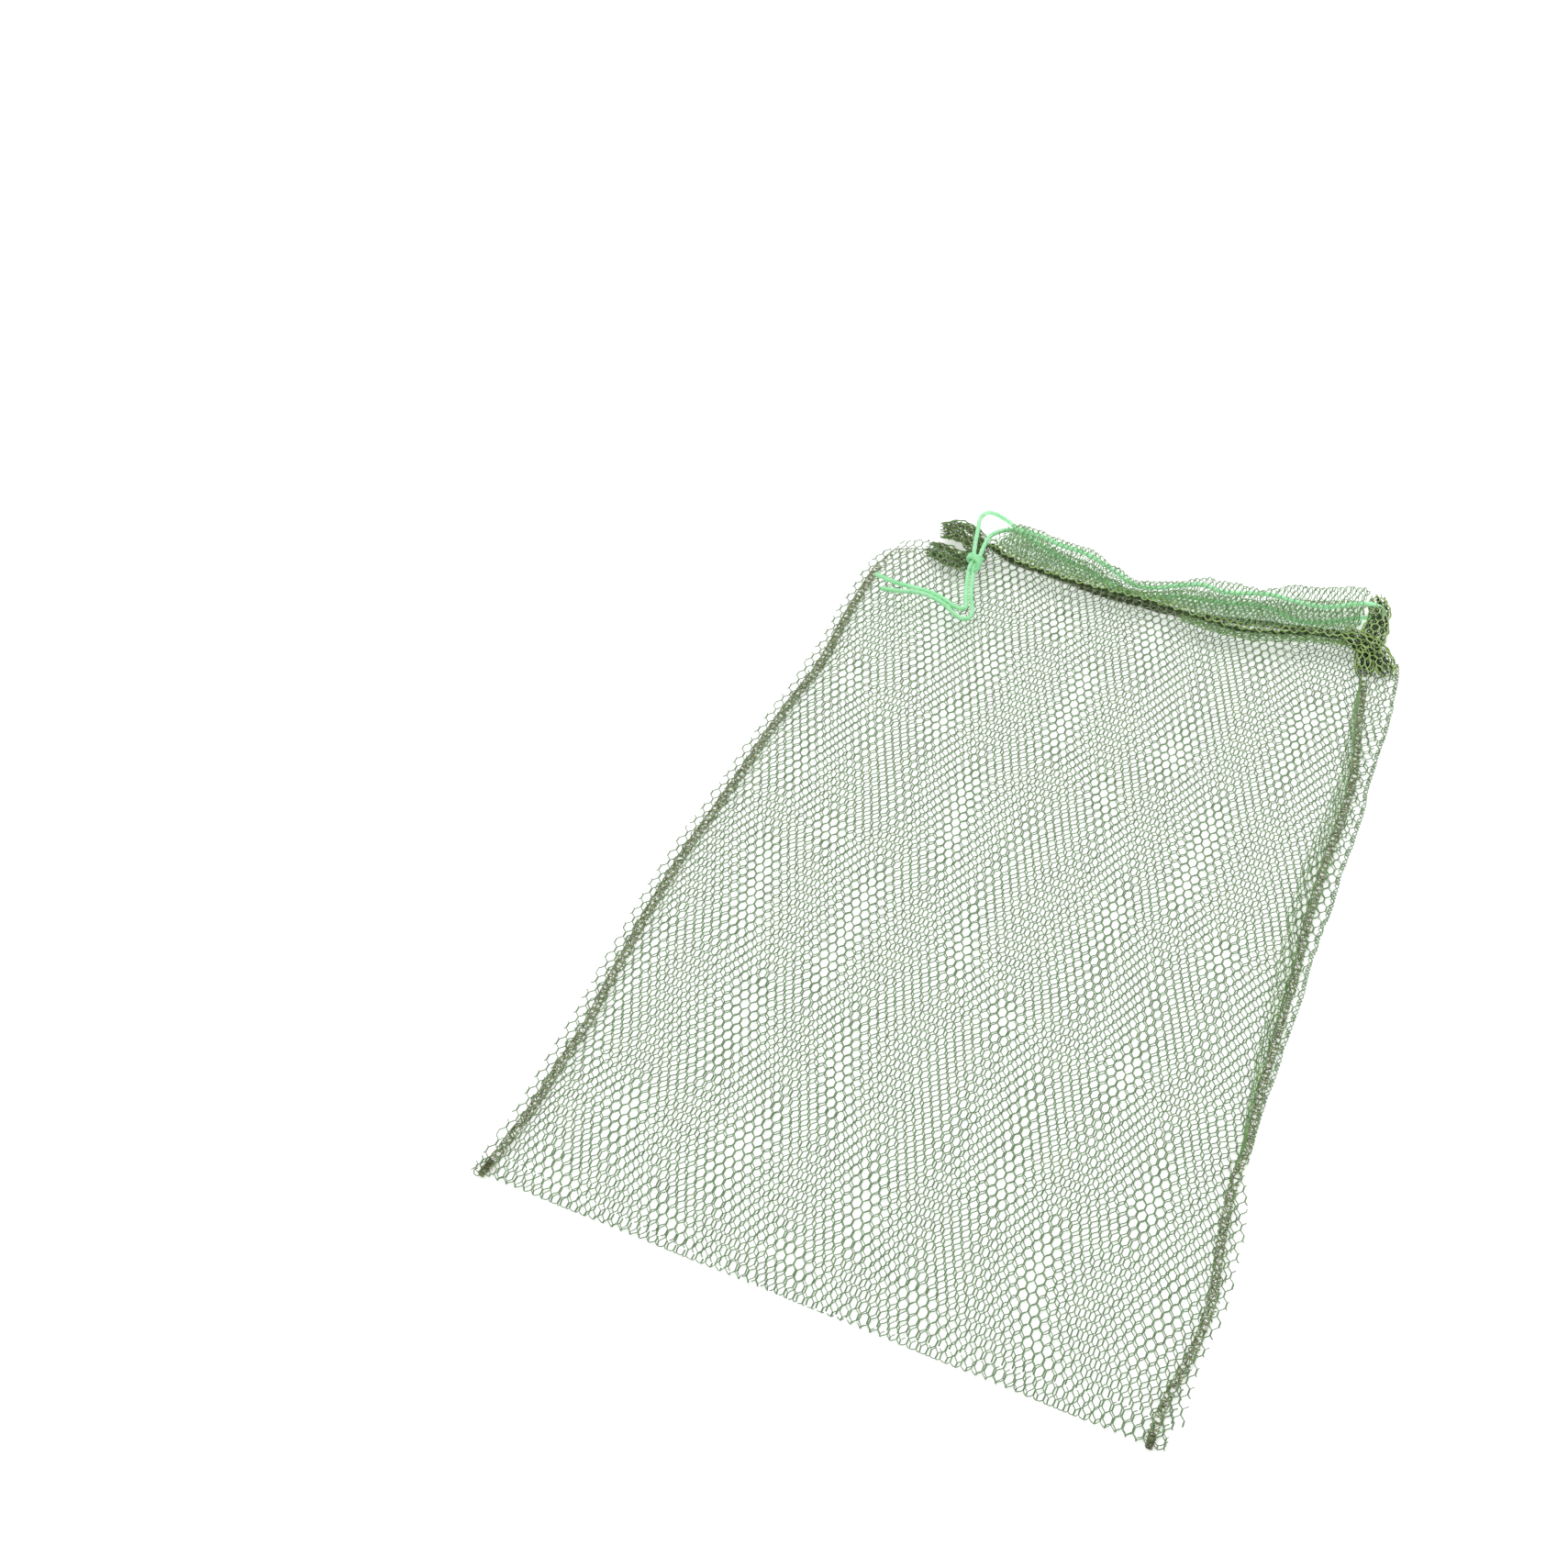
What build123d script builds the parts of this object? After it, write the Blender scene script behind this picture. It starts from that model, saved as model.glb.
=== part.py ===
from build123d import *

import math
import os

# Drawstring bag of hexagonal net, lying flat and a little open, in millimetres.
# +X runs across the bag, +Y from the bottom fold to the mouth, +Z up.
# The origin is under the middle of the bag's outline, on the surface it lies on.

# Net and seams
NET = 0.9                 # one ply of net
TOP_UNDERSIDE = 9.2       # height of the upper panel's underside over the surface
EDGE_UNDERSIDE = 1.6      # the same, where the panel runs into a side seam
EDGE_RUN = 13.0           # width over which the upper panel rises from the seam
FOLD_UNDERSIDE = 2.7      # height of its underside beside the bottom fold
# Distances from the fold at which the panel has its full height
PANEL_ROWS = (35, 55, 82, 110, 220, 330, 400, 430, 450)
SEAM_WIDTH = 3.0          # overlocked side seam
SEAM_HEIGHT = 2.6
ALLOWANCE_HEIGHT = 1.8    # the two raw-cut plies outside a side seam
FOLD_OUTER = 1.8          # outer radius of the fold that closes the bottom
THREAD_WIDTH = 2.2        # band of zigzag stitching along the foot of the hem
THREAD_HEIGHT = 2.2
TACK = (4.4, 2.6, 3.0)    # back-tacked end of a side seam: along it, across it, and its height
TACK_ROOM = 4.7           # length of the seam's line that the tack takes
TACK_CORNER, TACK_EDGE = 1.2, 0.8
BUNCH_HEIGHT = 13.2
BUNCH_ROUNDING = 1.0
GAP = 0.15                # kept between neighbouring pieces of the bag
RIGHT_SIDE_RATIO = 1.03   # the right side seam is this much longer than the left one
CUT_FROM, CUT_HEIGHT = -5, 40   # a cut that passes through every ply
BEYOND = 160              # clear of the outline on either side

# Hem that the drawcord runs in
PLY = 0.75
CHANNEL_CLEAR = 2.9
CHANNEL_HEIGHT = CHANNEL_CLEAR + 2 * PLY
UPPER_HEM_BASE = 9.3
OPEN_ENDS = 110           # the channel's hollow runs out past both of its ends

# Drawcord
CORD = 2.3
KNOT_RADIUS = 4.6
KNOT_HEIGHT = 8.0
KNOT_AT = (-92.4, 196.2)
PANEL_TOP = TOP_UNDERSIDE + NET
REST_GAP = 0.35           # between the panel and what lies on it
TAIL_Z = PANEL_TOP + REST_GAP + CORD / 2
LOWER_CORD_Z = CHANNEL_HEIGHT / 2
UPPER_CORD_Z = UPPER_HEM_BASE + CHANNEL_HEIGHT / 2
TURN = (110.8, 250.1)     # where the cord turns up inside the right bunch
TURN_RISE = 2.4

# Outline of the bag, as it lies: each side seam from the bottom to the mouth
LEFT_SEAM = [(-149.5, -241), (-146.4, -203), (-145.5, -160), (-147.6, -105), (-149, -60),
             (-146.4, 12), (-143.2, 78), (-141.2, 122), (-142.2, 188), (-138, 203.5),
             (-129, 208.2), (-119.2, 210)]
RIGHT_SEAM = [(148.2, -254), (147.9, -236), (151, -198), (149.6, -170), (143.6, -130),
              (141.2, -88), (136.8, -32), (133.2, 14), (129.8, 62), (128.2, 110), (125.4, 146),
              (121, 175), (117.2, 200)]
# Raw cut edges outside the side seams
LEFT_RAW = [(-155.5, -241.5), (-153.6, -215), (-152.8, -180), (-153.6, -142), (-155, -98),
            (-156, -60), (-153.2, 12), (-150, 78), (-148, 122), (-148.6, 186), (-142.5, 206.5),
            (-131.5, 212), (-122.5, 214)]
RIGHT_RAW = [(157.8, -253.5), (157, -232), (156.4, -204), (157.6, -178), (154.6, -147),
             (148.6, -120), (144.6, -95), (142.4, -55), (141.4, -20), (139.5, 15), (139, 50),
             (138.2, 90), (137.4, 118), (134.2, 155), (131.4, 190), (129.2, 205)]
# Foot of each hem, where it is stitched down, and its folded top, on either side of the mouth
HEM_FOOT = [(-91, 218.5), (-81, 213.4), (-73, 210.6), (-56, 208.4), (-40, 207.4), (-20, 207.8),
            (0, 208.2), (20, 207), (38, 205.6), (54, 207.4), (70, 213), (84, 217.8), (100, 220.6)]
HEM_TOP = [(-84, 236.2), (-76, 236.8), (-66, 235.8), (-54, 233), (-42, 232.8), (-32, 228.2),
           (-20, 222), (-10, 218.4), (2, 222.8), (12, 228.2), (21, 233.6), (40, 236.2),
           (52, 238.8), (60, 243), (68, 248.4), (78, 250.6), (95, 258.2), (100, 256.6)]
LOWER_HEM_FOOT = [(-91, 227.8), (-84, 224), (-76, 221.1), (-60, 219.4), (-44, 216.8), (-34, 213.6),
                  (-24, 211.8), (-6, 211), (12, 210.9), (22, 213), (36, 218.4), (51, 224.2),
                  (66, 228), (81, 231.4), (100, 236)]
LOWER_HEM_TOP = [(-84, 248), (-70, 241), (-56, 235), (-42, 232.4), (-30, 227.4), (-17, 221),
                 (-7, 221.4), (8, 230.6), (20, 233.2), (34, 235.4), (46, 239.4), (60, 243.4),
                 (68, 248.4), (78, 250.6), (95, 258.2), (100, 256.6)]
# Gathered net at each end of the mouth
LEFT_BUNCH = [(-118.4, 208), (-118.4, 212.2), (-121.8, 215.4), (-119.5, 229), (-110.5, 234.5),
              (-106.5, 239), (-104.2, 237.5), (-104.2, 229), (-98, 223.5), (-96.6, 214.6),
              (-98.2, 200.5), (-99.6, 194.2), (-107.6, 193.3), (-114.6, 200.6)]
RIGHT_BUNCH = [(101.2, 222), (101.2, 257), (104, 258.6), (110, 257.8), (115.5, 252), (120.5, 238),
               (124.5, 222), (127.5, 208), (121.5, 204.5), (117.4, 201.7), (112, 208), (107, 216)]
CORD_POCKET = (95.0, 112.9, 240.5, 252.0)    # hollow in the right bunch: its x and y limits

# Ends of the net panels beside the bunches
PANEL_BESIDE_LEFT = [(-134, 202.4), (-120, 207.4), (-115, 200), (-108, 192.8), (-99, 193.6),
                     (-97.8, 200)]
PANEL_BESIDE_RIGHT = [(100.7, 217.6), (106.6, 215.4), (111.6, 207.4), (115, 203)]

# Route of the held part of the drawcord: round the left end of the hem into the lower channel,
# right along it, up inside the right bunch and back along the upper channel
EXIT_A = (-101.9, 236.2, 12.4)
LOOP = [(-101.2, 241.0, 11.4), (-96.8, 244.6, 8.2), (-91.2, 247.4, 3.4)]
LOWER_RUN = [(-86, 245), (-72, 238.2), (-56, 231.4), (-42, 228.6), (-30, 223.4), (-16, 217.4),
             (-4, 218.6), (8, 226.6), (20, 228.8), (34, 231), (46, 235.6), (58, 236.8),
             (66, 232.6), (74, 232.6), (84, 236.4), (96, 245), (105.5, 249.6)]
UPPER_RUN = [(105.5, 249.6), (97, 246.6), (85, 237.4), (70, 235.2), (54, 236.4), (42, 231.2),
             (31, 227.2), (21, 230.6), (9, 223.6), (-2, 216.6), (-12, 214.6), (-24, 221.6),
             (-42, 230), (-56, 229.8), (-68, 233.2), (-78, 234.2)]
EXIT_B = (-82.2, 232.8, UPPER_CORD_Z)
# Free ends of the cord: two legs to the knot, as (x, y, z), and two tails from it
LEG_A = [EXIT_A, (-102.5, 232.12, 13.25), (-99.4, 221.6, 15.5), (-96.6, 209.0, 15.4),
         (-94.2, 200.9, 14.6)]
LEG_B = [EXIT_B, (-85.98, 231.54, UPPER_CORD_Z), (-90.4, 225.6, 13.0), (-92.8, 215.5, 15.2),
         (-91.0, 200.9, 14.6)]
TAIL_A = [(-93.4, 191.2), (-90.9, 182.0), (-88.0, 172.4), (-84.2, 163.6), (-89.5, 162.6),
          (-96.5, 166.3), (-105.5, 169.0), (-115.0, 169.0), (-125.5, 168.2), (-136.8, 171.0)]
TAIL_B = [(-90.6, 191.2), (-88.2, 182.0), (-84.9, 172.0), (-79.8, 162.0), (-81.0, 156.0),
          (-87.0, 156.4), (-96.0, 163.2), (-104.5, 166.0), (-113.0, 166.2), (-121.0, 162.8),
          (-130.2, 161.6)]


def height_band(points, z, height):
    """A flat piece with the given outline, from z up."""
    outline = make_face(Polyline(*points, close=True))
    return Pos(0, 0, z) * extrude(outline, amount=height, dir=(0, 0, 1))


def beside(points, distance):
    """The polyline moved sideways, to its left when the distance is positive."""
    moved = []
    for index, (x, y) in enumerate(points):
        x0, y0 = points[max(index - 1, 0)]
        x1, y1 = points[min(index + 1, len(points) - 1)]
        run = math.hypot(x1 - x0, y1 - y0)
        moved.append((x - distance * (y1 - y0) / run, y + distance * (x1 - x0) / run))
    return moved


def ribbon(points, width, z, height):
    """A band of constant width that follows a polyline."""
    return height_band(beside(points, width / 2) + beside(points, -width / 2)[::-1], z, height)


def along(points, y):
    """The x of a side seam at a given y."""
    for (x0, y0), (x1, y1) in zip(points, points[1:]):
        if y <= y1:
            return x0 + (x1 - x0) * (y - y0) / (y1 - y0)
    return points[-1][0]


def tube(points, name):
    """A round cord: straight runs joined by arcs as large as the runs allow."""
    points = [Vector(*p) for p in points]
    runs = [(b - a) for a, b in zip(points, points[1:])]
    radii = []
    for before, after in zip(runs, runs[1:]):
        turn = math.radians(before.get_angle(after))
        radii.append(0.45 * min(before.length, after.length) / math.tan(turn / 2))
    path = FilletPolyline(*points, radius=radii)
    section = Plane(origin=path @ 0, z_dir=path % 0) * Circle(CORD / 2)
    solid = sweep(section, path=path)
    share = solid.volume / (math.pi * CORD ** 2 / 4 * path.length)
    print(name, "length", round(path.length, 1), "least radius", round(min(radii), 1),
          "volume share", round(share, 4))
    return solid


def bottom_edge(x):
    """The y of the bottom fold's middle line."""
    (x0, y0), (x1, y1) = LEFT_SEAM[0], RIGHT_SEAM[0]
    return y0 + (y1 - y0) * (x - x0) / (x1 - x0)


def arch(offset_left, offset_right, edge, crown):
    """Cross-section of the upper panel between two points of the seams."""
    (xl, yl), (xr, yr) = offset_left, offset_right
    slope = (yr - yl) / (xr - xl)
    stations = [(xl, edge), (xl + EDGE_RUN, crown), (xr - EDGE_RUN, crown), (xr, edge)]
    under = [(x, yl + slope * (x - xl), z) for x, z in stations]
    over = [(x, y, z + NET) for x, y, z in reversed(under)]
    return make_face(Polyline(*under, *over, close=True))


def upper_panel():
    """The upper side of the bag, from the bottom fold to the foot of the hem."""
    inset = SEAM_WIDTH / 2 + GAP
    rows = [(GAP, FOLD_UNDERSIDE, FOLD_UNDERSIDE)]
    rows += [(distance, EDGE_UNDERSIDE, TOP_UNDERSIDE) for distance in PANEL_ROWS]
    sections = []
    for distance, edge, crown in rows:
        yl = LEFT_SEAM[0][1] + FOLD_OUTER + distance
        yr = RIGHT_SEAM[0][1] + FOLD_OUTER + distance * RIGHT_SIDE_RATIO
        sections.append(arch((along(LEFT_SEAM, yl) + inset, yl),
                             (along(RIGHT_SEAM, yr) - inset, yr), edge, crown))
    panel = loft(sections, ruled=True) - height_band(mouth_side(), CUT_FROM, CUT_HEIGHT)
    for seam in (LEFT_SEAM, RIGHT_SEAM):
        panel -= ribbon(seam, SEAM_WIDTH + 2 * GAP, CUT_FROM, CUT_HEIGHT)
    return panel


def foot_line(hem_foot):
    """The mouth's end of a net panel, round the bunches and along the stitching."""
    return PANEL_BESIDE_LEFT + beside(hem_foot, -THREAD_WIDTH - 2 * GAP) + PANEL_BESIDE_RIGHT


def mouth_side():
    """Everything on the mouth's side of the upper panel's end."""
    line = foot_line(HEM_FOOT)
    return ([(-BEYOND, line[0][1])] + line + [(BEYOND, line[-1][1]), (BEYOND, 2 * BEYOND),
                                              (-BEYOND, 2 * BEYOND)])


def lower_panel():
    """The under side of the bag, flat on the surface."""
    inset = SEAM_WIDTH / 2 + 2 * GAP
    left = beside(LEFT_SEAM[:-1], -inset)
    right = beside(RIGHT_SEAM, inset)
    left[0] = (left[0][0], bottom_edge(left[0][0]) + FOLD_OUTER + GAP)
    right[0] = (right[0][0], bottom_edge(right[0][0]) + FOLD_OUTER + GAP)
    return height_band(left + foot_line(LOWER_HEM_FOOT)[1:-1] + right[::-1], 0, NET)


def fold():
    """The rounded fold that joins the two panels at the bottom."""
    inset = SEAM_WIDTH / 2 + GAP
    x0, x1 = LEFT_SEAM[0][0] + inset, RIGHT_SEAM[0][0] - inset
    start = Vector(x0, bottom_edge(x0) + FOLD_OUTER, FOLD_OUTER)
    run = Vector(x1, bottom_edge(x1) + FOLD_OUTER, FOLD_OUTER) - start
    across = Plane(origin=start, x_dir=(0, 1, 0), z_dir=run)
    ring = Circle(FOLD_OUTER) - Circle(FOLD_OUTER - NET)
    half = ring & Pos(-FOLD_OUTER, 0) * Rectangle(2 * FOLD_OUTER, 4 * FOLD_OUTER)
    return extrude(across * half, amount=run.length)


def allowance(seam, raw, side):
    """The two raw-cut plies outside a side seam."""
    inner = beside(seam, side * (SEAM_WIDTH / 2 + GAP))
    return height_band(inner + raw[::-1], 0, ALLOWANCE_HEIGHT)


def stitched(seam):
    """The part of a side seam's line above its corner tack."""
    start = seam[0][1] + TACK_ROOM
    return [(along(seam, start), start)] + seam[1:]


def corner_tack(seam):
    """The back-tacked end of a side seam, at the bottom fold."""
    along_seam, across, height = TACK
    tack = extrude(RectangleRounded(across, along_seam, TACK_CORNER), amount=height)
    tack = fillet(tack.edges().group_by(Axis.Z)[-1], TACK_EDGE)
    y = seam[0][1] + TACK_ROOM - GAP - along_seam / 2
    return Pos(along(seam, y), y, 0) * tack


def hem_stitching(base, hem_foot):
    """The zigzag band that closes a hem at its foot."""
    outline = beside(hem_foot, -GAP) + beside(hem_foot, -GAP - THREAD_WIDTH)[::-1]
    return height_band(outline, base, THREAD_HEIGHT)


def hem_channel(base, hem_foot, folded_top):
    """Two plies of net, open at both ends, that the drawcord runs between."""
    outer = height_band(hem_foot + folded_top[::-1], base, CHANNEL_HEIGHT)
    foot, top = beside(hem_foot, PLY), beside(folded_top, -PLY)
    foot = [(-OPEN_ENDS, foot[0][1])] + foot + [(OPEN_ENDS, foot[-1][1])]
    top = [(-OPEN_ENDS, top[0][1])] + top + [(OPEN_ENDS, top[-1][1])]
    return outer - height_band(foot + top[::-1], base + PLY, CHANNEL_CLEAR)


def bunch(outline):
    """A gathered clump of net with rounded upper edges."""
    clump = height_band(outline, 0, BUNCH_HEIGHT)
    return fillet(clump.edges().group_by(Axis.Z)[-1], BUNCH_ROUNDING)


def right_bunch():
    """The clump at the fold of the mouth, hollow where the cord turns back."""
    near_x, far_x, near_y, far_y = CORD_POCKET
    pocket = height_band([(near_x, near_y), (far_x, near_y), (far_x, far_y), (near_x, far_y)],
                         PLY, BUNCH_HEIGHT - 2 * PLY + 2 * GAP)
    return bunch(RIGHT_BUNCH) - pocket


def knot():
    """The overhand knot tied with both ends of the cord."""
    ball = Sphere(KNOT_RADIUS)
    squashed = scale(ball, by=(1, 1, KNOT_HEIGHT / (2 * KNOT_RADIUS)))
    return Pos(*KNOT_AT, PANEL_TOP + REST_GAP + KNOT_HEIGHT / 2) * squashed


def held_route():
    """The drawcord's route inside the hem, end to end."""
    lower = [(x, y, LOWER_CORD_Z) for x, y in LOWER_RUN]
    upper = [(x, y, UPPER_CORD_Z) for x, y in UPPER_RUN]
    turn = [(*TURN, LOWER_CORD_Z + TURN_RISE), (*TURN, UPPER_CORD_Z - TURN_RISE)]
    return [EXIT_A] + LOOP + lower + turn + upper + [EXIT_B]


parts = {
    "upper_net_panel": upper_panel(),
    "lower_net_panel": lower_panel(),
    "bottom_fold": fold(),
    "left_side_seam": ribbon(stitched(LEFT_SEAM), SEAM_WIDTH, 0, SEAM_HEIGHT),
    "right_side_seam": ribbon(stitched(RIGHT_SEAM), SEAM_WIDTH, 0, SEAM_HEIGHT),
    "left_corner_tack": corner_tack(LEFT_SEAM),
    "right_corner_tack": corner_tack(RIGHT_SEAM),
    "left_seam_allowance": allowance(LEFT_SEAM, LEFT_RAW, 1),
    "right_seam_allowance": allowance(RIGHT_SEAM, RIGHT_RAW, -1),
    "upper_hem_channel": hem_channel(UPPER_HEM_BASE, HEM_FOOT, HEM_TOP),
    "lower_hem_channel": hem_channel(0, LOWER_HEM_FOOT, LOWER_HEM_TOP),
    "upper_hem_stitching": hem_stitching(TOP_UNDERSIDE, HEM_FOOT),
    "lower_hem_stitching": hem_stitching(0, LOWER_HEM_FOOT),
    "left_mouth_bunch": bunch(LEFT_BUNCH),
    "right_mouth_bunch": right_bunch(),
    "drawcord_in_hem": tube(held_route(), "drawcord_in_hem"),
    "drawcord_leg_a": tube(LEG_A, "drawcord_leg_a"),
    "drawcord_leg_b": tube(LEG_B, "drawcord_leg_b"),
    "overhand_knot": knot(),
    "drawcord_tail_a": tube([(x, y, TAIL_Z) for x, y in TAIL_A], "drawcord_tail_a"),
    "drawcord_tail_b": tube([(x, y, TAIL_Z) for x, y in TAIL_B], "drawcord_tail_b"),
}

os.makedirs("parts", exist_ok=True)
for name, part in parts.items():
    export_step(part, f"parts/{name}.step")
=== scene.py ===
import math

import bpy
import numpy as np
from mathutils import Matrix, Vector


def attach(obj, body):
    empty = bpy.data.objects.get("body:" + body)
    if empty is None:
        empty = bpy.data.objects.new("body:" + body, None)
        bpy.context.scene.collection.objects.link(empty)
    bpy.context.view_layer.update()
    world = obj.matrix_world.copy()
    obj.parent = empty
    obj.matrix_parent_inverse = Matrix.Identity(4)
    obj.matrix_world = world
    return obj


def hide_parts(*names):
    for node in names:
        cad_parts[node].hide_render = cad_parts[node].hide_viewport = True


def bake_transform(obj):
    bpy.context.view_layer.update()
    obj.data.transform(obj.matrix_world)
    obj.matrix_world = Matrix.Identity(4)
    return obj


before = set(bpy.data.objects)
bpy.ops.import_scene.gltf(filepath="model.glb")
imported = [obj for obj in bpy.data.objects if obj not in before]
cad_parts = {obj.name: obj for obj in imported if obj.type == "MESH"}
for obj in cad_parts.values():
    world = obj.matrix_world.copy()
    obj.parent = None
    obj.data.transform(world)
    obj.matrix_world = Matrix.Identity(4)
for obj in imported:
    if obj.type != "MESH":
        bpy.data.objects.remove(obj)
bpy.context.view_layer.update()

# ---------------------------------------------------------------- the bag's outline
# The (x, y) places where each line bends: seams and cut edges from the bottom up, hems from
# left to right. They follow the CAD model's lines to within 2 mm, except near the mouth: the
# right seam's top leaves them by up to 6 mm and the middle of the lower hem's foot by up to
# 5 mm, and the right cut edge runs 17 mm further up.
LEFT_SEAM = [(-0.1500, -0.241), (-0.1487, -0.233), (-0.1476, -0.218), (-0.1461, -0.203),
             (-0.1455, -0.172), (-0.1450, -0.150), (-0.1465, -0.127), (-0.1475, -0.105),
             (-0.1487, -0.080), (-0.1490, -0.052), (-0.1485, -0.026), (-0.1466, 0.004),
             (-0.1455, 0.030), (-0.1448, 0.055), (-0.1430, 0.081), (-0.1408, 0.103),
             (-0.1410, 0.122), (-0.1422, 0.142), (-0.1425, 0.165), (-0.1420, 0.188),
             (-0.1395, 0.2015), (-0.1350, 0.2055), (-0.1300, 0.2080), (-0.1245, 0.2095),
             (-0.1190, 0.2100)]
LEFT_SIDE = LEFT_SEAM[:20]            # without the turn to the mouth
RIGHT_SEAM = [(0.1478, -0.254), (0.1475, -0.240), (0.1480, -0.229), (0.1495, -0.217),
              (0.1510, -0.204), (0.1513, -0.189), (0.1502, -0.175), (0.1475, -0.160),
              (0.1450, -0.145), (0.1430, -0.129), (0.1420, -0.114), (0.1423, -0.100),
              (0.1410, -0.086), (0.1393, -0.072), (0.1383, -0.057), (0.1374, -0.040),
              (0.1358, -0.020), (0.1345, 0.002), (0.1330, 0.018), (0.1312, 0.036),
              (0.1300, 0.056), (0.1290, 0.078), (0.1286, 0.096), (0.1280, 0.116),
              (0.1262, 0.136), (0.1234, 0.152), (0.1202, 0.167), (0.1174, 0.181),
              (0.1150, 0.195), (0.1132, 0.204)]
LEFT_RAW = [(-0.1548, -0.2405), (-0.1546, -0.228), (-0.1533, -0.214), (-0.1529, -0.198),
            (-0.1529, -0.178), (-0.1535, -0.150), (-0.1545, -0.120), (-0.1555, -0.090),
            (-0.1562, -0.060), (-0.1555, -0.030), (-0.1535, 0.005), (-0.1525, 0.035),
            (-0.1510, 0.062), (-0.1490, 0.090), (-0.1480, 0.120), (-0.1488, 0.150),
            (-0.1482, 0.182), (-0.1450, 0.1985), (-0.1385, 0.2065), (-0.1310, 0.2103),
            (-0.1225, 0.2120)]
RIGHT_RAW = [(0.1578, -0.2535), (0.1574, -0.238), (0.1564, -0.222), (0.1564, -0.204),
             (0.1576, -0.186), (0.1573, -0.172), (0.1556, -0.157), (0.1535, -0.140),
             (0.1500, -0.126), (0.1458, -0.113), (0.1446, -0.101), (0.1432, -0.088),
             (0.1427, -0.074), (0.1424, -0.060), (0.1420, -0.044), (0.1416, -0.026),
             (0.1414, -0.008), (0.1400, 0.008), (0.1394, 0.026), (0.1392, 0.045),
             (0.1384, 0.062), (0.1378, 0.078), (0.1380, 0.098), (0.1370, 0.113),
             (0.1355, 0.128), (0.1344, 0.148), (0.1336, 0.170), (0.1318, 0.190),
             (0.1300, 0.205), (0.1285, 0.214), (0.1262, 0.222)]
RAW_TO = -0.100           # above this, the right allowance ends in a fold instead of a cut
HEM_FOOT = [(-0.091, 0.2185), (-0.081, 0.2134), (-0.073, 0.2106), (-0.056, 0.2084),
            (-0.040, 0.2074), (-0.020, 0.2078), (0.000, 0.2082), (0.020, 0.207), (0.038, 0.2056),
            (0.054, 0.2074), (0.070, 0.213), (0.084, 0.2178), (0.100, 0.2206)]
HEM_TOP = [(-0.084, 0.2362), (-0.076, 0.2368), (-0.066, 0.2358), (-0.054, 0.233), (-0.042, 0.2328),
           (-0.032, 0.2282), (-0.020, 0.222), (-0.010, 0.2184), (0.002, 0.2228), (0.012, 0.2282),
           (0.021, 0.2336), (0.040, 0.2362), (0.052, 0.2388), (0.060, 0.243), (0.068, 0.2484),
           (0.078, 0.2506), (0.095, 0.2582), (0.100, 0.2566)]
LOWER_HEM_FOOT = [(-0.091, 0.2278), (-0.084, 0.224), (-0.076, 0.2211), (-0.060, 0.2194),
                  (-0.044, 0.2176), (-0.034, 0.2158), (-0.024, 0.2150), (-0.006, 0.2152),
                  (0.012, 0.2160), (0.022, 0.2176), (0.036, 0.2208), (0.051, 0.2248),
                  (0.066, 0.228), (0.081, 0.2314), (0.100, 0.236)]
LOWER_HEM_TOP = [(-0.084, 0.248), (-0.070, 0.241), (-0.056, 0.235), (-0.042, 0.2324),
                 (-0.030, 0.2274), (-0.017, 0.221), (-0.007, 0.2214), (0.008, 0.2306),
                 (0.020, 0.2332), (0.034, 0.2354), (0.046, 0.2394), (0.060, 0.2434),
                 (0.068, 0.2484), (0.078, 0.2506), (0.095, 0.2582), (0.100, 0.2566)]
HEM_FROM, HEM_TO = -0.0925, 0.1025    # the x that the net of both hems keeps between
MOUTH_LEFT = [(-0.1190, 0.2080), (-0.1100, 0.2060), (-0.0980, 0.2090)]
MOUTH_RIGHT = [(0.1085, 0.2190), (0.1132, 0.2040)]
LOOSE_END = [(-0.1498, -0.2400), (-0.1508, -0.2418), (-0.1526, -0.2416), (-0.1536, -0.2398),
             (-0.1528, -0.2382)]      # of the left tack's thread

# ---------------------------------------------------------------- the drawcord's route
# It repeats the route of the CAD model: over an open loop into the left end of the lower hem,
# along it, up at the right end and back along the upper hem. A leg runs from each end of that
# to the knot, and a tail from the knot.
CORD = 0.0023             # its diameter
CORD_STEP = 0.00026       # between two rings of its surface
BRAID_TURN = 0.0044       # length of one turn of its strands
LOWER_CORD_Z, UPPER_CORD_Z, TAIL_Z = 0.0022, 0.0115, 0.0116
EXIT_A = (-0.1019, 0.2362, 0.0124)
LOOP = [(-0.1012, 0.2410, 0.0114), (-0.0968, 0.2446, 0.0082), (-0.0912, 0.2474, 0.0034)]
LOWER_RUN = [(-0.086, 0.245), (-0.072, 0.2382), (-0.056, 0.2314), (-0.042, 0.2286),
             (-0.030, 0.2234), (-0.016, 0.2174), (-0.004, 0.2186), (0.008, 0.2266),
             (0.020, 0.2288), (0.034, 0.231), (0.046, 0.2356), (0.058, 0.2368), (0.066, 0.2326),
             (0.074, 0.2326), (0.084, 0.2364), (0.096, 0.245), (0.1055, 0.2496)]
TURN = [(0.1108, 0.2501, 0.0046), (0.1108, 0.2501, 0.0091)]
UPPER_RUN = [(0.1055, 0.2496), (0.097, 0.2466), (0.085, 0.2374), (0.070, 0.2352), (0.054, 0.2364),
             (0.042, 0.2312), (0.031, 0.2272), (0.021, 0.2306), (0.009, 0.2236),
             (-0.002, 0.2166), (-0.012, 0.2146), (-0.024, 0.2216), (-0.042, 0.230),
             (-0.056, 0.2298), (-0.068, 0.2332), (-0.078, 0.2342)]
EXIT_B = (-0.0822, 0.2328, UPPER_CORD_Z)
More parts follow.
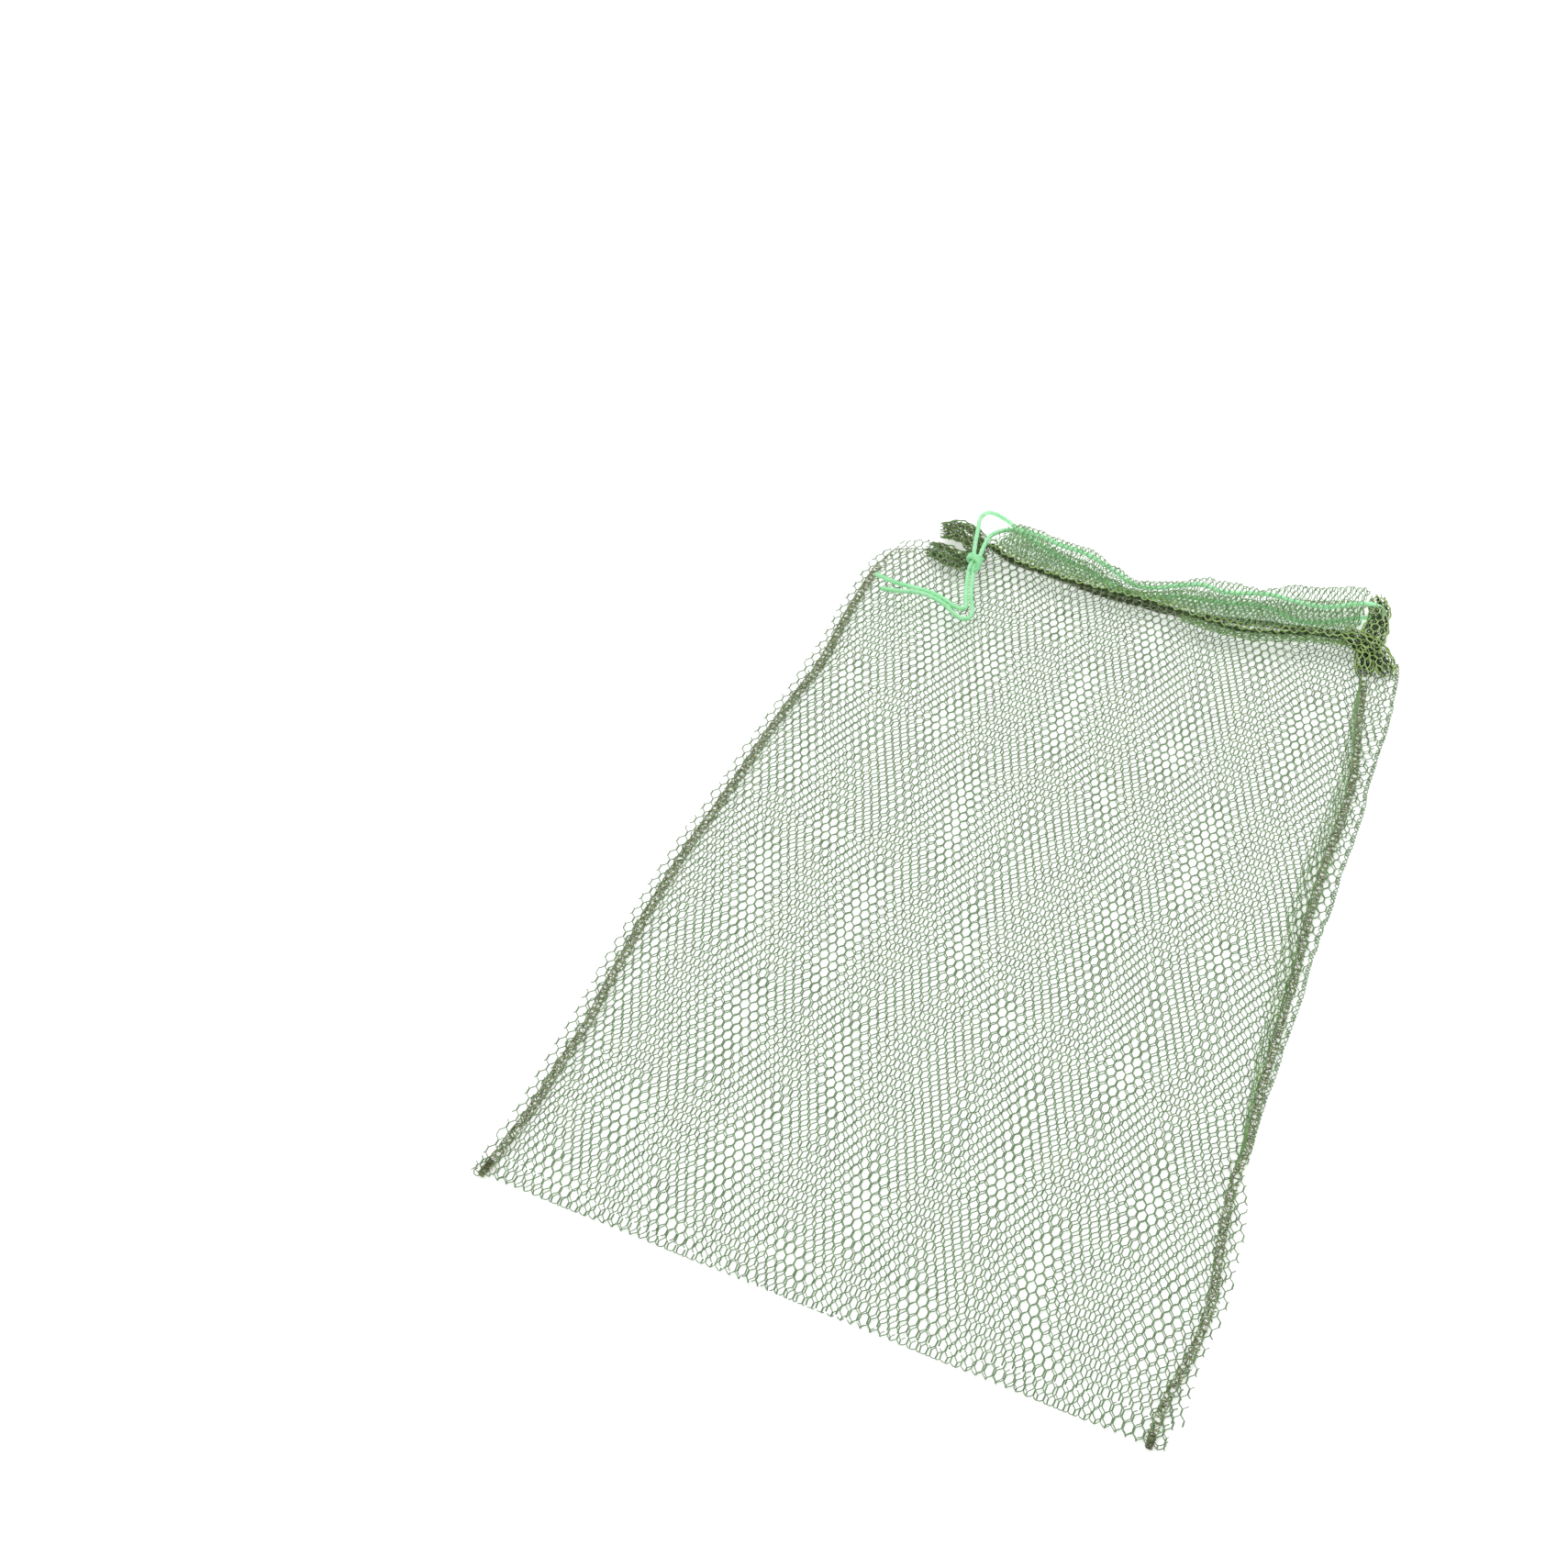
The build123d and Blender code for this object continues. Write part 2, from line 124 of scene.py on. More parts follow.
LEG_A = [EXIT_A, (-0.1025, 0.23212, 0.01325), (-0.0994, 0.2216, 0.0155), (-0.0966, 0.2090, 0.0154),
         (-0.0942, 0.2009, 0.0146)]
LEG_B = [EXIT_B, (-0.08598, 0.23154, UPPER_CORD_Z), (-0.0904, 0.2256, 0.0130),
         (-0.0928, 0.2155, 0.0152), (-0.0910, 0.2009, 0.0146)]
TAIL_A = [(-0.0934, 0.1912), (-0.0909, 0.1820), (-0.0880, 0.1724), (-0.0842, 0.1636),
          (-0.0895, 0.1626), (-0.0965, 0.1663), (-0.1055, 0.1690), (-0.1150, 0.1690),
          (-0.1255, 0.1682), (-0.1368, 0.1710)]
TAIL_B = [(-0.0906, 0.1912), (-0.0882, 0.1820), (-0.0849, 0.1720), (-0.0798, 0.1620),
          (-0.0810, 0.1560), (-0.0870, 0.1564), (-0.0960, 0.1632), (-0.1045, 0.1660),
          (-0.1130, 0.1662), (-0.1210, 0.1628), (-0.1302, 0.1616)]

# ---------------------------------------------------------------- sizes of the net
PITCH = 0.00435           # between two columns of bars
ROW = 0.0049              # between two rows of bars
BAR = 2 / 3               # share of a row that is bar, the rest is diagonal
YARN = 0.00023            # radius of one yarn
PAIR = 0.032              # half the distance between a bar's two yarns, in pitches
TWIST = 0.00008           # rise of a bar's one yarn above its middle, and fall of the other
ROW_SLANT = 18.0          # rows per metre by which the rows run off the fold line
FOLD_RADIUS = 0.00135     # of the net's turn at the bottom of the bag
FOLD_HEIGHT = 0.0018      # height of that turn's middle
CROWN = 0.00965           # height of the upper panel's middle
EDGE = 0.0019             # its height at the seams
SEAM_FLAT = 0.0012        # from a seam's middle to where the upper panel starts to rise
SEAM_SLOPE = 0.017        # from there to where it is flat again
FOLD_SLOPE = 0.040        # the same, from the bottom fold
LOWER_Z = 0.0005          # height of the lower panel's yarns
UPPER_STITCH_Z = 0.0092   # height at which the stitching of the upper hem starts
LOWER_STITCH_Z = 0.0      # and of the lower hem
STITCH = 0.0026           # length of one stitch of the needle rows
SEAM_FROM = 0.003         # from a lower corner to the start of its seam's overlock
TACK_TO = 0.008           # from a lower corner to the end of its tack

# ---------------------------------------------------------------- the studio
LENS, SENSOR = 61.49, 36
EYE = (0.23378, -0.81059, 0.91742)
AIM = (-0.12451, 0.02279, 0.0)
LAMP_AT, LAMP_SIZE, LAMP_WATTS = (-0.5, 0.6, 2.2), 2.4, 24
WORLD_STRENGTH = 0.62
FLOOR_REACH = 4.0
FLOOR_Z = -0.0004         # a few yarns of the lower hem dip 0.6 mm under it
FLOOR_GREY, FLOOR_GLOW = 0.92, 0.42


# ---------------------------------------------------------------- lines and meshes
def unit(v):
    """Rows of v, each of length one."""
    return v / np.maximum(np.linalg.norm(v, axis=-1, keepdims=True), 1e-12)


def spline(points, step):
    """A smooth line through the given points, with a point about every step."""
    points = np.array(points, float)
    ends = np.vstack([2 * points[0] - points[1], points, 2 * points[-1] - points[-2]])
    out = []
    for i in range(len(points) - 1):
        a, b, c, d = ends[i:i + 4]
        n = max(2, round(float(np.linalg.norm(c - b)) / step))
        t = np.linspace(0, 1, n, endpoint=False)[:, None]
        out.append(0.5 * (2 * b + (c - a) * t + (2 * a - 5 * b + 4 * c - d) * t ** 2
                          + (3 * b - a - 3 * c + d) * t ** 3))
    return np.vstack(out + [points[-1:]])


def smooth_y(points, x):
    """The y of a smooth line at each x."""
    line = spline(points, 0.001)
    return np.interp(x, line[:, 0], line[:, 1])


def smooth_x(points, y):
    """The x of a seam's line at each y."""
    line = spline(points, 0.002)
    return np.interp(y, line[:, 1], line[:, 0])


def ripple(x, y, seed, wave, height):
    """A smooth uneven surface made of a few sine waves."""
    rng = np.random.default_rng(seed)
    total = 0
    for _ in range(5):
        angle, phase = rng.uniform(0, 2 * math.pi, 2)
        k = 2 * math.pi / (wave * rng.uniform(0.7, 1.5))
        total = total + np.sin(k * (x * math.cos(angle) + y * math.sin(angle)) + phase)
    return total * height / 3


def inside(x, y, outline):
    """Whether each point is inside a closed outline."""
    result = np.zeros(x.shape, bool)
    for (x0, y0), (x1, y1) in zip(outline, np.roll(outline, -1, axis=0)):
        if y0 == y1:
            continue
        crosses = (y0 > y) != (y1 > y)
        result ^= crosses & (x < x0 + (x1 - x0) * (y - y0) / (y1 - y0))
    return result


def link(name, data):
    """An object for a mesh, curve, lamp or camera, in the scene."""
    piece = bpy.data.objects.new(name, data)
    bpy.context.scene.collection.objects.link(piece)
    return piece


def transported(path):
    """Two directions across a path at each of its points, turning as little as they can."""
    tangent = unit(np.gradient(path, axis=0))
    first = np.cross(tangent[0], (0.3, 0.2, 1.0))
    side = [first / np.linalg.norm(first)]
    for direction in tangent[1:]:
        last = side[-1] - direction * (side[-1] @ direction)
        side.append(last / np.linalg.norm(last))
    side = np.array(side)
    return side, np.cross(tangent, side)


def across_x(path):
    """The same for a path that never runs along X."""
    tangent = unit(np.gradient(path, axis=0))
    side = unit(np.array([1.0, 0, 0]) - tangent * tangent[:, :1])
    return side, np.cross(tangent, side)


def tubes(name, paths, radius, sides=4, frames=transported, profile=None):
    """One mesh of closed tubes along many paths. profile(path, angles) scales the radius."""
    angles = 2 * math.pi * (np.arange(sides) + 0.5) / sides
    verts, faces, caps, start = [], [], [], 0
    ring = np.arange(sides)
    for path in paths:
        side, up = frames(path)
        size = radius * (profile(path, angles) if profile else np.ones((len(path), sides)))
        rings = (path[:, None] + side[:, None] * (np.cos(angles) * size)[..., None]
                 + up[:, None] * (np.sin(angles) * size)[..., None])
        verts.append(rings.reshape(-1, 3))
        a = start + np.arange(len(path) - 1)[:, None] * sides + ring
        b = start + np.arange(len(path) - 1)[:, None] * sides + (ring + 1) % sides
        faces.append(np.stack([a, a + sides, b + sides, b], -1).reshape(-1, 4)[:, ::-1])
        caps += [start + ring[::-1], start + (len(path) - 1) * sides + ring]
        start += len(path) * sides
    verts, faces = np.vstack(verts), np.vstack(faces)
    mesh = bpy.data.meshes.new(name)
    loops = np.concatenate([faces.ravel()] + caps).astype(np.int32)
    counts = np.concatenate([np.full(len(faces), 4), np.full(len(caps), sides)]).astype(np.int32)
    mesh.vertices.add(len(verts))
    mesh.vertices.foreach_set("co", verts.ravel())
    mesh.loops.add(len(loops))
    mesh.loops.foreach_set("vertex_index", loops)
    mesh.polygons.add(len(counts))
    starts = np.concatenate([[0], np.cumsum(counts)[:-1]]).astype(np.int32)
    mesh.polygons.foreach_set("loop_start", starts)
    mesh.polygons.foreach_set("loop_total", counts)
    mesh.update(calc_edges=True)
    mesh.validate()
    mesh.shade_smooth()
    return link(name, mesh)


def stretches(mask, least=3):
    """The first and last index of each unbroken run of True in a mask."""
    edges = np.flatnonzero(np.diff(np.concatenate([[0], mask.astype(int), [0]])))
    return [(a, b) for a, b in zip(edges[::2], edges[1::2]) if b - a >= least]


def knit(columns, rows, shape, keep=None):
    """Yarns of hexagonal net. shape(u, v, bump) places points, given in columns and rows.

    Each yarn zigzags lengthwise, and lies against each of its two neighbours in turn, where
    the two of them make a bar.
    """
    steps = np.array([0.04, 0.33, 0.62, 0.76, 0.90])      # a yarn's points along one row
    v = (np.arange(math.floor(rows[0]), math.ceil(rows[1]))[:, None] + steps).ravel()
    lean = np.interp(v % 1, [0, BAR, 1], [1, 1, -1]) * np.where(np.floor(v) % 2 == 0, 1, -1)
    bar = np.where(v % 1 < BAR, 1.0, 0.0)
    yarns = []
    for index in range(round(2 * columns[0]), round(2 * columns[1])):
        sign = 1 if index % 2 == 0 else -1
        u = index / 2 + 0.25 + sign * lean * (0.25 - PAIR)
        points = np.stack(shape(u, v, TWIST * sign * bar), -1)
        good = np.ones(len(v), bool) if keep is None else keep(points[:, 0], points[:, 1])
        yarns += [points[a:b] for a, b in stretches(good)]
    return yarns


# ---------------------------------------------------------------- shape of the bag's body
FOLD_MIDDLE = (np.array(LEFT_SEAM[0]) + np.array(RIGHT_SEAM[0])) / 2
FOLD_WAY = unit(np.array(RIGHT_SEAM[0]) - np.array(LEFT_SEAM[0]))
UP_WAY = np.array([-0.012, 1.0])      # of the upper panel's columns
DOWN_WAY = np.array([0.017, 1.0])     # of the lower panel's columns


def upper_height(x, y, run):
    """Height of the upper panel's yarns: low at the seams and the fold, flat in the middle."""
    off_seam = np.minimum(x - smooth_x(LEFT_SIDE, y), smooth_x(RIGHT_SEAM, y) - x)
    rise = np.sin(np.clip((off_seam - SEAM_FLAT) / SEAM_SLOPE, 0, 1) * math.pi / 2)
    far = np.sin(np.clip(run / FOLD_SLOPE, 0, 1) * math.pi / 2)
    from_fold = FOLD_HEIGHT + FOLD_RADIUS
    crown = CROWN + ripple(x, y, 3, 0.07, 0.00035)
    return EDGE + (from_fold - EDGE) * (1 - far) * rise + (crown - EDGE) * rise * far


def body(u, v, bump):
    """The cloth from the upper mouth, round the bottom fold, to the lower mouth."""
    along = u * PITCH
    run = (v + ROW_SLANT * along) * ROW
    bend = FOLD_RADIUS * math.pi / 2
    flat = np.abs(run) - bend
    turn = np.clip(run, -bend, bend) / FOLD_RADIUS
    out = (FOLD_HEIGHT - FOLD_RADIUS + FOLD_RADIUS * (1 - np.cos(turn)) + np.maximum(flat, 0))
    way = np.where(run[:, None] > 0, UP_WAY, DOWN_WAY)
    start = FOLD_MIDDLE + along[:, None] * FOLD_WAY
    x, y = (start + out[:, None] * way).T
    upper = run > 0
    free = np.clip(flat / 0.03, 0, 1)     # how far a place is free of the fold
    dx = np.where(upper, ripple(x, y, 11, 0.11, 0.0007), ripple(x, y, 12, 0.10, 0.0009))
    dy = np.where(upper, ripple(x, y, 13, 0.12, 0.0006), ripple(x, y, 14, 0.10, 0.0008))
    x, y = x + dx * free, y + dy * free
    lying = np.where(upper, upper_height(x, y, flat), LOWER_Z + ripple(x, y, 5, 0.05, 0.0001))
    z = np.where(flat > 0, lying, FOLD_HEIGHT + FOLD_RADIUS * np.sin(turn))
    return x, y, z + bump * np.where(upper, 1.0, -1.0)


# ---------------------------------------------------------------- materials
def principled(name, roughness, sheen=0.0, subsurface=0.0):
    """A new material, its node tree's builder functions and its shader."""
    material = bpy.data.materials.new(name)
    material.use_nodes = True
    nodes, links = material.node_tree.nodes, material.node_tree.links
    shader = nodes["Principled BSDF"]
    shader.inputs["Roughness"].default_value = roughness
    shader.inputs["Sheen Weight"].default_value = sheen
    shader.inputs["Sheen Roughness"].default_value = 0.4
    shader.inputs["Specular IOR Level"].default_value = 0.35
    shader.inputs["Subsurface Weight"].default_value = subsurface
    shader.inputs["Subsurface Radius"].default_value = (0.4, 1.0, 0.4)
    shader.inputs["Subsurface Scale"].default_value = 0.0006
    return material, nodes, links, shader


def noise(nodes, links, scale, detail=2.0):
    """A noise texture in object space, in features per metre."""
    where = nodes.new("ShaderNodeTexCoord")
    texture = nodes.new("ShaderNodeTexNoise")
    texture.inputs["Scale"].default_value = scale
    texture.inputs["Detail"].default_value = detail
    links.new(where.outputs["Object"], texture.inputs["Vector"])
    return texture


def ramp(nodes, links, source, stops):
    """A colour ramp over a texture's value."""
    node = nodes.new("ShaderNodeValToRGB")
    elements = node.color_ramp.elements
    while len(elements) < len(stops):
        elements.new(0.5)
    for element, (place, colour) in zip(elements, stops):
        element.position, element.color = place, (*colour, 1)
    links.new(source, node.inputs["Fac"])
    return node.outputs["Color"]


def multiplied(nodes, links, a, b):
    """The product of two colours."""
    node = nodes.new("ShaderNodeMix")
    node.data_type, node.blend_type = "RGBA", "MULTIPLY"
    node.inputs["Factor"].default_value = 1.0
    links.new(a, node.inputs["A"])
    links.new(b, node.inputs["B"])
    return node.outputs["Result"]


def twisted(nodes, links, shader):
    """Fine relief of twisted filaments."""
    texture = noise(nodes, links, 4200, 3.0)
    bump = nodes.new("ShaderNodeBump")
    bump.inputs["Strength"].default_value = 0.5
    bump.inputs["Distance"].default_value = 0.0001
    links.new(texture.outputs["Fac"], bump.inputs["Height"])
    links.new(bump.outputs["Normal"], shader.inputs["Normal"])


def fibre(name, dark, middle, light, patch=90, grain=1500, roughness=0.55, sheen=0.25,
          subsurface=0.0, glow=0.0):
    """Spun plastic yarn: colour that drifts in patches and speckles along each yarn."""
    material, nodes, links, shader = principled(name, roughness, sheen, subsurface)
    # Emission in the lightest colour, at strength glow: a painted glow, for yarn that should look
    # lit through the net around it
    shader.inputs["Emission Color"].default_value = (*light, 1)
    shader.inputs["Emission Strength"].default_value = glow
    broad = ramp(nodes, links, noise(nodes, links, patch).outputs["Fac"],
                 [(0.3, dark), (0.5, middle), (0.72, light)])
    fine = ramp(nodes, links, noise(nodes, links, grain, 4.0).outputs["Fac"],
                [(0.25, (0.72, 0.72, 0.72)), (0.7, (1.25, 1.25, 1.2))])
    links.new(multiplied(nodes, links, broad, fine), shader.inputs["Base Color"])
    twisted(nodes, links, shader)
    return material


NET = fibre("green_net_yarn", (0.175, 0.278, 0.148), (0.225, 0.350, 0.190),
            (0.290, 0.425, 0.245))
HEMMED = fibre("hem_net_yarn", (0.150, 0.290, 0.110), (0.215, 0.410, 0.160),
               (0.310, 0.530, 0.240), patch=160)
PUCKERED = fibre("drawn_up_net_yarn", (0.130, 0.270, 0.075), (0.210, 0.400, 0.125),
                 (0.310, 0.530, 0.200), patch=180)
# A lit copy of the net yarn, far lighter: painted light on the standing loops and on the outer
# cells of the right bunch.
PAINTED_LIT_YARN = fibre("painted_lit_net_yarn", (0.260, 0.420, 0.120), (0.400, 0.590, 0.200),
               (0.550, 0.740, 0.340), patch=260)
# Near-black net yarn: painted shade, under the upper hem's stitching and inside the right bunch.
PAINTED_SHADE_YARN = fibre("shaded_hem_yarn", (0.020, 0.045, 0.010), (0.035, 0.075, 0.018),
               (0.070, 0.130, 0.035), patch=260)
# The net yarn's colour made browner and far darker for crushed and crowded net: painted shade
# between the crowded strands.
CROWD_SHADED_YARN = fibre("crowded_yarn_painted_shade", (0.100, 0.110, 0.050), (0.180, 0.205, 0.088),
                 (0.320, 0.410, 0.180), patch=260)
THREAD = fibre("olive_seam_thread", (0.185, 0.205, 0.098), (0.280, 0.315, 0.150),
               (0.400, 0.460, 0.240), patch=320)
BROWN = fibre("brown_hem_thread", (0.070, 0.066, 0.032), (0.130, 0.128, 0.068),
              (0.230, 0.250, 0.130), patch=320)
BRAIDED = {"patch": 150, "grain": 2600, "roughness": 0.5, "sheen": 0.35, "subsurface": 0.25}
CORD_SKIN = fibre("mint_drawcord", (0.350, 0.880, 0.440), (0.420, 0.950, 0.520),
                  (0.540, 0.980, 0.630), **BRAIDED)
# A lit copy of the mint cord, slightly brighter, with a painted glow. The glow stands in for the
# light that reaches the held cord through the hem's net.
CORD_PAINTED_GLOW = fibre("mint_drawcord_painted_glow", (0.350, 0.900, 0.440), (0.420, 0.960, 0.520),
                    (0.540, 0.980, 0.630), **BRAIDED, glow=0.22)


def dress(piece, material, body="bag", replaces=()):
    """The finish of a piece, the body that it moves with and the nodes it stands for."""
    piece.data.materials.append(material)
    if body:
        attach(piece, body)
    if replaces:
        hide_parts(*replaces)
    return piece


# ---------------------------------------------------------------- the drawcord
def route(points, name):
    """The smooth line that a cord follows: a NURBS spline controlled by its route's points."""
    curve = bpy.data.curves.new(name, "CURVE")
    curve.dimensions, curve.resolution_u = "3D", 16
    line = curve.splines.new("NURBS")
    line.points.add(len(points) - 1)
    for point, place in zip(line.points, points):
        point.co = (*place, 1)
    line.order_u = 3
    line.use_endpoint_u = True
    holder = link(name, curve)
    bpy.context.view_layer.update()
    mesh = bpy.data.meshes.new_from_object(holder)
    places = np.array([v.co[:] for v in mesh.vertices])
    bpy.data.objects.remove(holder)
    return places


def distances(path):
    """How far along a line each of its points is."""
    return np.concatenate([[0], np.cumsum(np.linalg.norm(np.diff(path, axis=0), axis=1))])


def evenly(path, step):
    """The same line with points at equal distances."""
    along = distances(path)
    count = max(2, round(along[-1] / step) + 1)
    at = np.linspace(0, along[-1], count)
    return np.stack([np.interp(at, along, path[:, k]) for k in range(path.shape[1])], -1)


def braid(path, angles):
    """Relief of a four-strand braid, as shares of the radius."""
    turn = distances(path)[:, None] / BRAID_TURN * 2 * math.pi
    left, right = np.cos(2 * angles - turn), np.cos(2 * angles + turn)
    return 0.95 + 0.10 * np.maximum(left, right)


def cord(name, points, body, node, skin=CORD_SKIN):
    """A braided cord along a route, standing for a CAD node, and the line it follows."""
    path = evenly(route(points, name + "_line"), CORD_STEP)
    piece = tubes(name, [path], CORD / 2, sides=24, profile=braid)
    return dress(piece, skin, body, [node]), path


def raised(points, z):
    """Route points given as (x, y), at one height."""
    return [(x, y, z) for x, y in points]


def drawcord():
    """The held cord, the two legs to the knot, the knot and the two tails."""
    held = [EXIT_A] + LOOP + raised(LOWER_RUN, LOWER_CORD_Z) + TURN
    held += raised(UPPER_RUN, UPPER_CORD_Z) + [EXIT_B]
    # The cord held in the hems wears the copy with the painted glow.
    cord("drawcord_held", held, "bag", "drawcord_in_hem", CORD_PAINTED_GLOW)
    knot = tie_knot()
    for name, points in (("leg_a", LEG_A), ("leg_b", LEG_B)):
        piece, path = cord(name, points, None, "drawcord_" + name)
        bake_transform(piece)
    for name, points in (("tail_a", TAIL_A), ("tail_b", TAIL_B)):
        piece, path = cord(name, raised(points, TAIL_Z), "cord_tails", "drawcord_" + name)


# The overhand knot, for one of its two strands: down the middle, out at the bottom, one and
# a half turns round, and out through the turns. Given in millimetres from the knot's middle.
KNOT_AT = np.array([-0.0924, 0.1962, 0.01445])
KNOT_STRAND = [(-0.9, 5.4, 0.3), (-0.8, 3.6, -0.4), (-0.4, 1.2, -1.4), (0.6, -1.8, -2.4),
               (2.8, -3.1, -1.5), (4.0, -2.0, 0.6), (2.8, -0.4, 2.6), (0.0, 0.9, 3.3),
               (-3.0, 2.0, 2.2), (-4.0, 2.6, 0.0), (-2.8, 3.0, -2.0), (0.2, 3.2, -2.3),
               (2.8, 3.3, -0.7), (2.4, 2.9, 1.3), (1.0, 1.0, 1.3), (0.5, -1.6, 0.6),
               (0.2, -3.6, -0.6), (0.0, -5.2, -2.6)]
TURNING = range(3, 13)                # its points that go round, where the strands lie stacked
ABREAST, STACKED = 1.15, 0.95         # from the knot's middle to each strand, in millimetres
KNOT_SQUEEZE = 0.93                   # the cord's thickness in the knot, as a share


def tie_knot():
    """The overhand knot in both strands of the cord."""
    strands = []
    for side in (-1, 1):
        points = []
        for i, place in enumerate(KNOT_STRAND):
            shift = (0, STACKED * side, 0) if i in TURNING else (ABREAST * side, 0, 0)
            points.append(tuple(KNOT_AT + (np.array(place) + shift) * 0.001))
        strands.append(evenly(route(points, "knot_line"), CORD_STEP))
    piece = tubes("overhand_knot_strands", strands, CORD / 2 * KNOT_SQUEEZE, sides=20,
                  profile=braid)
    return dress(piece, CORD_SKIN, "cord_end", ["overhand_knot"])


def net(name, yarns, nodes, material=NET,
        radius=YARN, frames=across_x):
    """A piece of net made of yarns, standing for the given CAD nodes."""
    piece = tubes(name, yarns, radius, frames=frames)
    dress(piece, material, "bag", nodes)
    return piece


def panels():
    """The upper and the lower side of the bag, each in strips of whole yarns."""
    left, right = spline(LEFT_SEAM, 0.003), spline(RIGHT_SEAM, 0.003)
    strips = [(-36, -11), (-11, 10), (10, 36)]            # columns of each strip
    for side, rows, hem_foot in (("upper", (0, 100), HEM_FOOT),
                                 ("lower", (-100, 0), LOWER_HEM_FOOT)):
        foot = spline(MOUTH_LEFT + hem_foot + MOUTH_RIGHT, 0.003)
        outline = np.vstack([left, foot, right[::-1], [(0.150, -0.27), (-0.150, -0.27)]])
        for number, columns in enumerate(strips, 1):
            yarns = knit(columns, rows, body, lambda x, y: inside(x, y, outline))
            nodes = [f"{side}_net_panel"] + (["bottom_fold"] if side == "upper" else [])
            net(f"{side}_net_strip_{number}", yarns, nodes)


def allowances():
    """Both plies of the net outside the side seams, cut off, or folded under at the right."""
    for side, seam, raw, columns in (("left", LEFT_SEAM, LEFT_RAW, (-37, -28)),
                                     ("right", RIGHT_SEAM, RIGHT_RAW, (25, 38))):
        seam_line, raw_line = spline(seam, 0.003), spline(raw, 0.003)
        yarns = []
        for rows, trim in (((0, 100), 0.0), ((-100, 0), 0.0035)):
            cut = raw_line + [trim if side == "left" else -trim, 0]
            outline = np.vstack([seam_line, cut[::-1]])
            yarns += knit(columns, rows, body, lambda x, y: inside(x, y, outline))
        if side == "right":
            yarns += folded_edge(raw_line[raw_line[:, 1] > RAW_TO])
        net(f"{side}_cut_edge", yarns, [f"{side}_seam_allowance"], radius=0.00025,
            frames=transported)


def folded_edge(line):
    """The zigzag of cells at a folded edge, where the net turns from one ply to the other."""
    step = 0.0008
    line = evenly(line, step)
    along = step * np.arange(len(line))
    yarns = []
    for start in (0.0, 0.5):
        turn = 2 * math.pi * (along / ROW + start)
        out = -0.0009 + 0.0010 * np.cos(turn) + 0.0004 * drift(len(line), 9, 61)
        up = 0.0012 + 0.0008 * np.sin(turn * 0.5 + start * 7)
        yarns.append(np.column_stack([line[:, 0] + out, line[:, 1], up]))
    return yarns


def side_frame(line):
    """A flat line's direction to its left, at each point."""
    way = unit(np.gradient(line, axis=0))
    return np.column_stack([-way[:, 1], way[:, 0]])


def drift(count, reach, seed):
    """A smooth random number at each of count points, about reach points wide."""
    rng = np.random.default_rng(seed)
    knots = max(4, int(count / reach) + 3)
    return np.interp(np.linspace(0, knots - 1, count), np.arange(knots), rng.uniform(-1, 1, knots))


def wound(line, width, height, pitch, base=0.0, phase=0.0):
    """Thread wound round a flat band that follows a line."""
    step = pitch / 14
    line = evenly(line, step)
    turn = 2 * math.pi * (step * np.arange(len(line)) / pitch + phase)
    wobble = 1 + 0.12 * drift(len(line), 22, int(phase * 100) + 5)
    out = np.sign(np.cos(turn)) * np.abs(np.cos(turn)) ** 0.7 * width / 2 * wobble
    up = base + height / 2 + np.sign(np.sin(turn)) * np.abs(np.sin(turn)) ** 0.6 * height / 2
    return np.column_stack([line + side_frame(line) * out[:, None], up])


def needle(line, out, top, seed):
    """A row of stitches along a band: raised in the middle of each, and low at its ends."""
    line = evenly(line, STITCH / 8)
    phase = np.pi * np.arange(len(line)) / 8
    up = top + 0.0003 * np.abs(np.sin(phase)) - 0.0001
    aside = out + 0.0001 * drift(len(line), 12, seed)
    return np.column_stack([line + side_frame(line) * aside[:, None], up])


def crushed(line, width, height, count, base, seed):
    """Yarns of net that are caught in a band of stitches."""
    line = evenly(line, 0.0009)
    aside = side_frame(line)
    yarns = []
    for number in range(count):
        out = width / 2 * np.clip(drift(len(line), 3.2, seed + number) * 1.15, -1, 1)
        up = base + height / 2 * (1 + 0.85 * drift(len(line), 4.1, seed + 40 + number))
        yarns.append(np.column_stack([line + aside * out[:, None], up]))
    return yarns


def threads(name, paths, radius, node, material=THREAD):
    """Sewing thread along many paths, as one piece."""
    dress(tubes(name, paths, radius), material, "bag", [node])


def overlock(side, points, inward, row_material, corner=None):
    """An overlocked side seam: its wound thread, its two needle rows and the net caught in it."""
    line = spline(points, 0.002)
    line = line[line[:, 1] > points[0][1] + SEAM_FROM]
    over = [wound(line, 0.0042, 0.0020, 0.0030), wound(line, 0.0034, 0.0022, 0.0037, phase=0.4)]
    rows = [needle(line, inward * 0.0016, 0.0018, 3), needle(line, -inward * 0.0016, 0.0017, 4)]
    if corner is not None:
        over.append(wound(corner, 0.0022, 0.0014, 0.0034))
        rows.append(needle(corner, 0.0006, 0.0015, 5))
    node = f"{side}_side_seam"
    threads(f"{side}_overlock_loops", over, 0.00020, node)
    threads(f"{side}_needle_rows", rows, 0.00022, node, row_material)
    caught = crushed(line, 0.0040, 0.0014, 3, 0.0002, seed=11)
    # The net caught in the seam gets the darkened yarn: painted shade between its crowded strands.
    threads(f"{side}_caught_net", caught, 0.00019, node, CROWD_SHADED_YARN)


